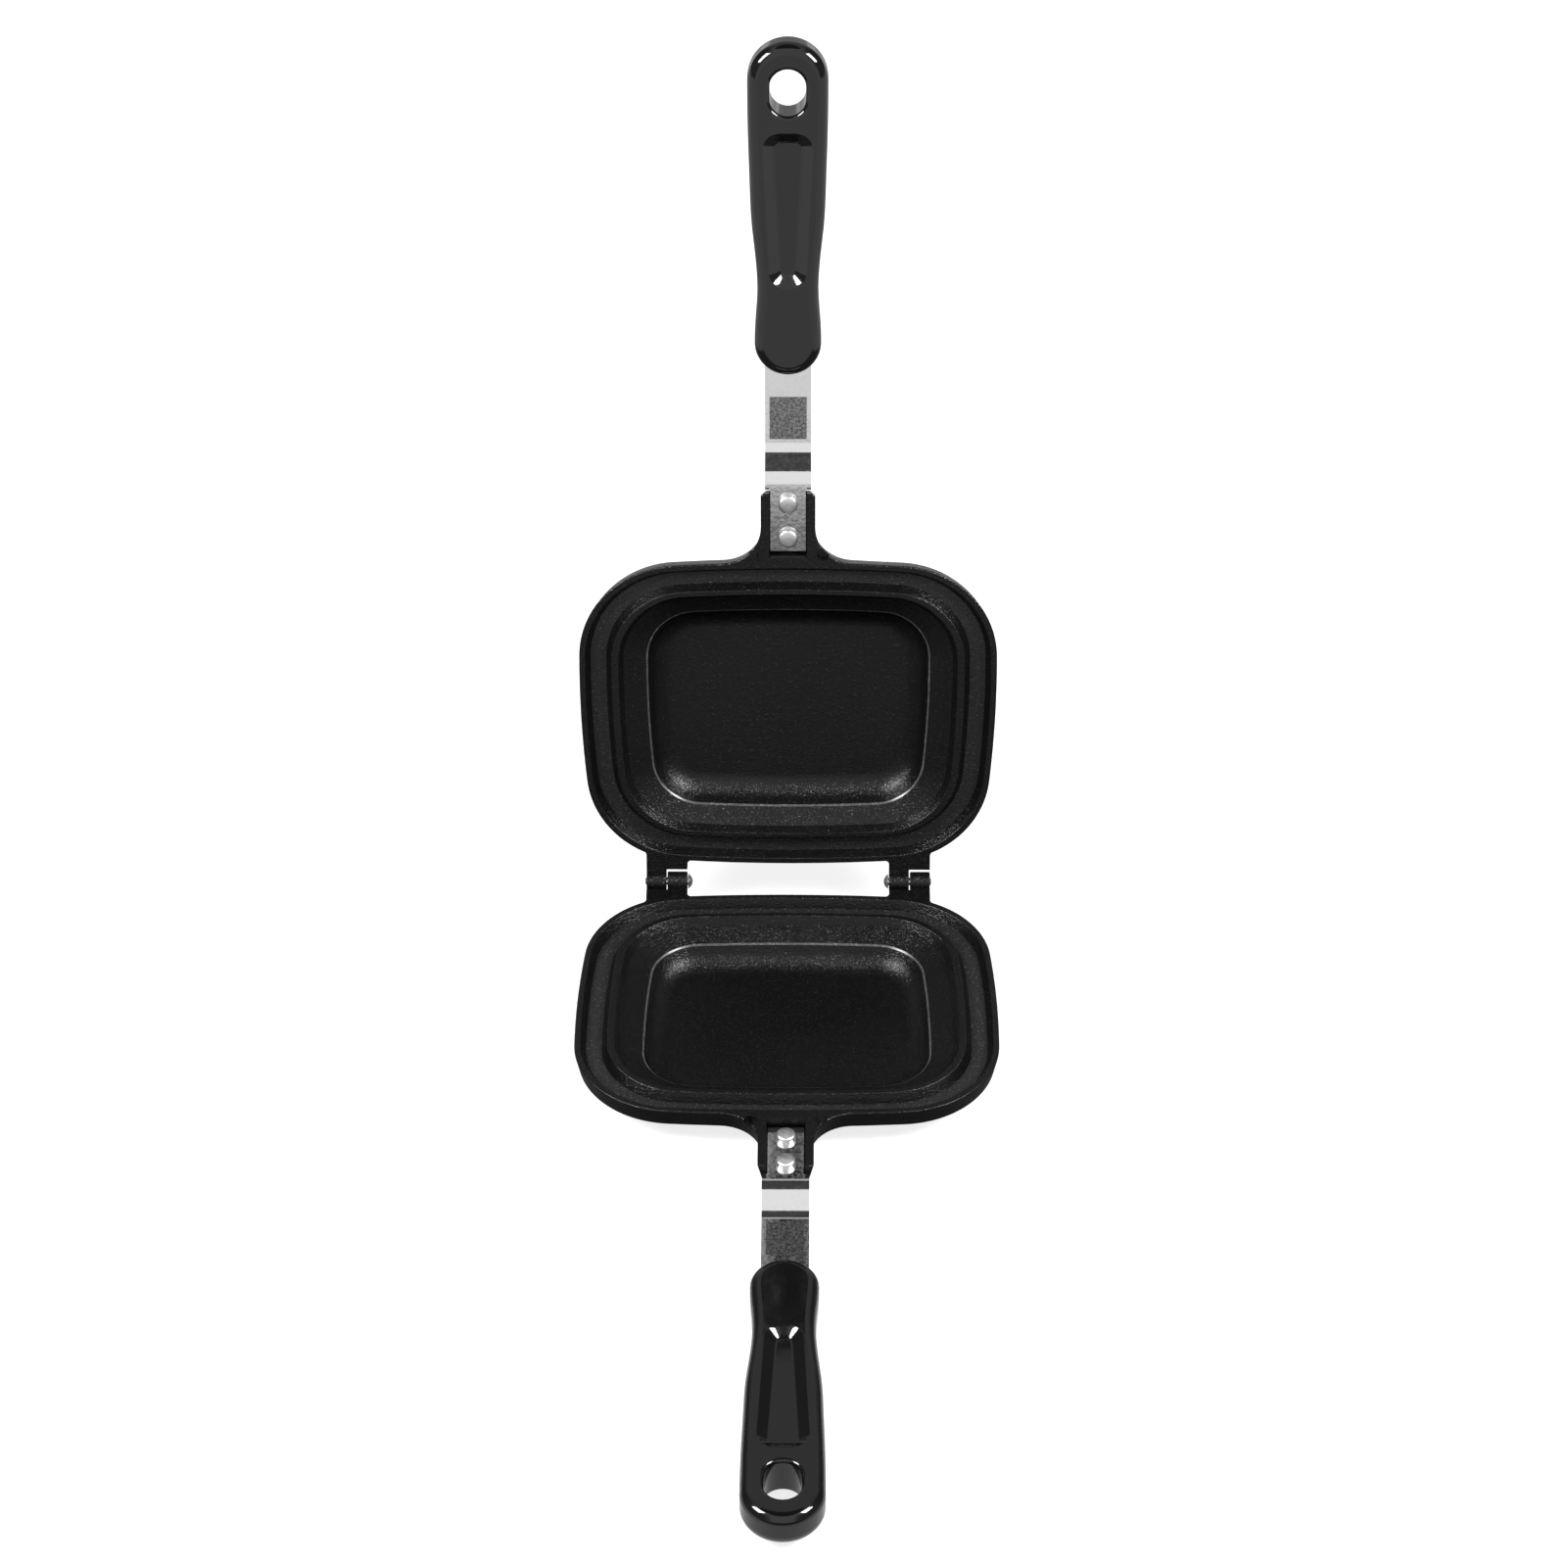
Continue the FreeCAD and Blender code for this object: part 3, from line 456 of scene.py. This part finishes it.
def table_in_reflections(tree):
    # Grey ahead of the pan, white beyond, to the sides and beside the lower grip
    coordinates = tree.nodes.new("ShaderNodeTexCoord")
    axes = split_axes(tree, coordinates.outputs["Object"])
    ahead = ramp(tree, axes["Y"], -1.10, -0.95, 0.85, 0.14)
    sideways = maths(tree, "ABSOLUTE", axes["X"])
    aside = ramp(tree, sideways, 0.35, 0.60, 0.0, 0.95)
    behind = ramp(tree, axes["Y"], 0.15, 0.30, 0.0, 0.6)
    grip_middle = 0.20
    from_grip = maths(tree, "ABSOLUTE", maths(tree, "ADD", axes["Y"], grip_middle))
    beside = maths(tree, "MULTIPLY", ramp(tree, sideways, 0.07, 0.10, 0.95, 0.0),
                   ramp(tree, from_grip, 0.08, 0.11, 1.0, 0.0))
    strength = ahead
    for part in (aside, behind, beside):
        strength = maths(tree, "MAXIMUM", strength, part)
    return strength


def open_to_view(tree, path):
    return maths(tree, "MAXIMUM", path["Is Camera Ray"], path["Is Transmission Ray"])


def pale_table():
    material = bpy.data.materials.new("Pale table")
    material.use_nodes = True
    tree = material.node_tree
    tree.nodes.remove(tree.nodes["Principled BSDF"])
    path = tree.nodes.new("ShaderNodeLightPath").outputs
    diffuse = tree.nodes.new("ShaderNodeBsdfDiffuse")
    diffuse.inputs["Color"].default_value = grey(0.3)
    glow = tree.nodes.new("ShaderNodeEmission")
    seen = maths(tree, "MULTIPLY", open_to_view(tree, path), 0.80)
    tree.links.new(seen, glow.inputs["Strength"])
    lit = tree.nodes.new("ShaderNodeAddShader")
    tree.links.new(diffuse.outputs[0], lit.inputs[0])
    tree.links.new(glow.outputs[0], lit.inputs[1])
    mirrored = tree.nodes.new("ShaderNodeEmission")
    tree.links.new(table_in_reflections(tree), mirrored.inputs["Strength"])
    both = tree.nodes.new("ShaderNodeMixShader")
    tree.links.new(path["Is Glossy Ray"], both.inputs[0])
    tree.links.new(lit.outputs[0], both.inputs[1])
    tree.links.new(mirrored.outputs[0], both.inputs[2])
    tree.links.new(both.outputs[0], tree.nodes["Material Output"].inputs["Surface"])
    return material


def add_floor():
    shape = bmesh.new()
    bmesh.ops.create_grid(shape, x_segments=1, y_segments=1, size=6.0)
    just_below = -0.0002
    bmesh.ops.translate(shape, vec=(0, 0, just_below), verts=shape.verts)
    mesh = bpy.data.meshes.new("floor")
    shape.to_mesh(mesh)
    shape.free()
    floor = bpy.data.objects.new("floor", mesh)
    bpy.context.scene.collection.objects.link(floor)
    mesh.materials.append(pale_table())


def add_world():
    # White to the camera. In reflections the walls are white up to about 64 degrees,
    # grey at the sides and behind the pan, and it is dark above them
    world = bpy.data.worlds.new("Studio")
    bpy.context.scene.world = world
    world.use_nodes = True
    tree = world.node_tree
    background = tree.nodes["Background"]
    background.inputs["Color"].default_value = grey(1)
    coordinates = tree.nodes.new("ShaderNodeTexCoord")
    axes = split_axes(tree, coordinates.outputs["Generated"])
    height = ramp(tree, axes["Z"], 0.893, 0.920, 1.0, 0.06)
    depth = ramp(tree, axes["Y"], 0.10, 0.45, 1.0, 0.50)
    sides = ramp(tree, maths(tree, "ABSOLUTE", axes["X"]), 0.35, 0.70, 1.0, 0.22)
    walls = maths(tree, "MULTIPLY", height, maths(tree, "MULTIPLY", depth, sides))
    path = tree.nodes.new("ShaderNodeLightPath").outputs
    glossy = maths(tree, "MULTIPLY", path["Is Glossy Ray"], walls)
    diffuse = maths(tree, "MULTIPLY", path["Is Diffuse Ray"], 0.45)
    strength = maths(tree, "MAXIMUM", open_to_view(tree, path), glossy)
    strength = maths(tree, "MAXIMUM", strength, diffuse)
    tree.links.new(strength, background.inputs["Strength"])


def add_softbox(name, side):
    place = Vector((side * 1.0, -0.4, 1.15))
    aim = Vector((0, 0.05, 0.1))
    data = bpy.data.lights.new(name, "AREA")
    data.shape = "RECTANGLE"
    data.size = 0.55
    data.size_y = 0.55
    data.energy = 40
    lamp = bpy.data.objects.new(name, data)
    lamp.location = place
    lamp.rotation_euler = (aim - place).to_track_quat("-Z", "Y").to_euler()
    bpy.context.scene.collection.objects.link(lamp)


def add_camera():
    # Angles, distance and focal length come from one camera fitted to the photo
    lift = math.radians(51.3)
    sideways_turn = math.radians(0.5)
    tilt = math.radians(-0.19)
    distance = 2.033
    rise = 0.0374
    shift = 0.0015
    sensor_width = 36.0
    focal_pixels = 5400
    photo_pixels = 1601
    back = Vector((0, -math.sin(lift), math.cos(lift)))
    up = Vector((0, math.cos(lift), math.sin(lift)))
    right = Vector((1, 0, 0))
    turn = Matrix.Rotation(sideways_turn, 4, "Z")
    roll = Matrix.Rotation(tilt, 4, back)
    place = Matrix.Translation(up * rise + back * distance - right * shift)
    axes = Matrix((right, up, back)).transposed().to_4x4()
    camera = bpy.data.objects.new("camera", bpy.data.cameras.new("camera"))
    camera.data.sensor_width = sensor_width
    camera.data.lens = sensor_width * focal_pixels / photo_pixels
    camera.matrix_world = Matrix.Translation(HINGE) @ turn @ place @ roll @ axes
    bpy.context.scene.collection.objects.link(camera)
    bpy.context.scene.camera = camera


add_floor()
add_world()
add_softbox("right softbox", 1)
add_softbox("left softbox", -1)
add_camera()
bpy.context.scene.view_settings.view_transform = "Standard"
